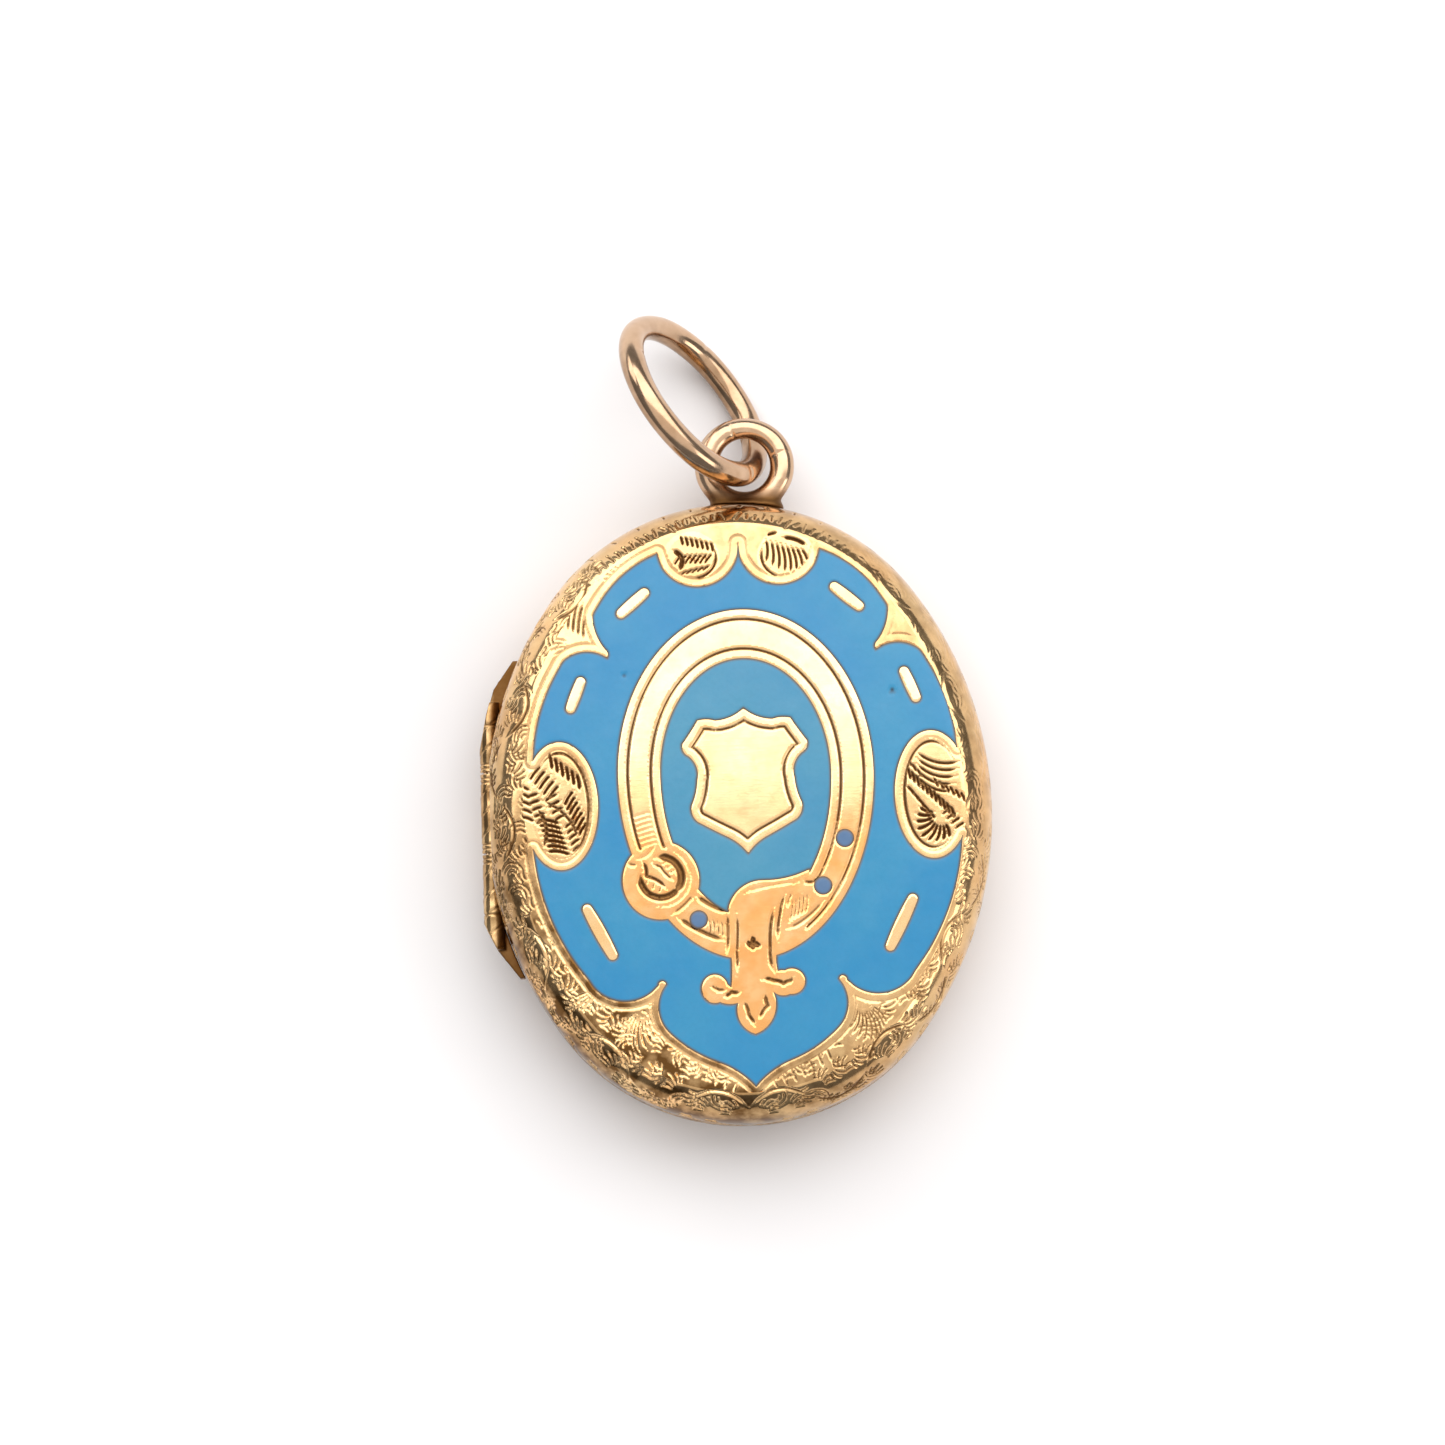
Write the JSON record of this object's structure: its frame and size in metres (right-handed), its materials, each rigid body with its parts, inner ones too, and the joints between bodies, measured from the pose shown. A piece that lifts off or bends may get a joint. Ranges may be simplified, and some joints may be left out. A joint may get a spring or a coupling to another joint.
{
  "type": "oval photograph locket",
  "caption": "Oval hinged locket: engraved gold case, blue enamel face with a buckled belt and blank shield, framed pictures inside, fixed bail and loose jump ring.",
  "frame": {"origin": "centre of the flat face of the back that the locket lies on", "axes": "+Z out of the enamelled face, +Y towards the bail, -X towards the hinge"},
  "size_m": [0.0205, 0.033, 0.0073],
  "materials": {
    "engraved_gold": "hand-engraved, worn bright on the high places",
    "polished_gold": "polished",
    "ring_gold": "polished rosy gold wire",
    "blue_enamel": "glossy fired enamel",
    "picture_glass": "clear",
    "picture_card": "matt, blank"
  },
  "bodies": {
    "back_half": {"back_cover": "engraved_gold", "back_rim": "polished_gold", "upper_hinge_knuckle": "engraved_gold", "lower_hinge_knuckle": "engraved_gold", "hinge_pin": "polished_gold", "bail_base": "ring_gold", "bail_ring": "ring_gold", "back_photo_frame": "polished_gold", "back_photo_glass": "picture_glass", "back_photo_card": "picture_card"},
    "front_half": {"front_cover": "engraved_gold", "front_rim": "polished_gold", "middle_hinge_knuckle": "engraved_gold", "enamel_border": "blue_enamel", "enamel_centre": "blue_enamel", "enamel_eyelets": "blue_enamel", "front_photo_frame": "polished_gold", "front_photo_glass": "picture_glass", "front_photo_card": "picture_card"},
    "jump_ring": {"jump_ring": "ring_gold"}
  },
  "joints": [
    {"name": "cover_hinge", "type": "hinge", "parent": "back_half", "child": "front_half", "pos_m": [-0.00995, 0, 0.00275], "axis": [0, -1, 0], "range_deg": [0, 180]},
    {"name": "jump_ring_swing", "type": "hinge", "parent": "back_half", "child": "jump_ring", "pos_m": [0.0007, 0.0142, 0.00275], "axis": [0, 0, 1], "range_deg": [-95, 5]}
  ]
}
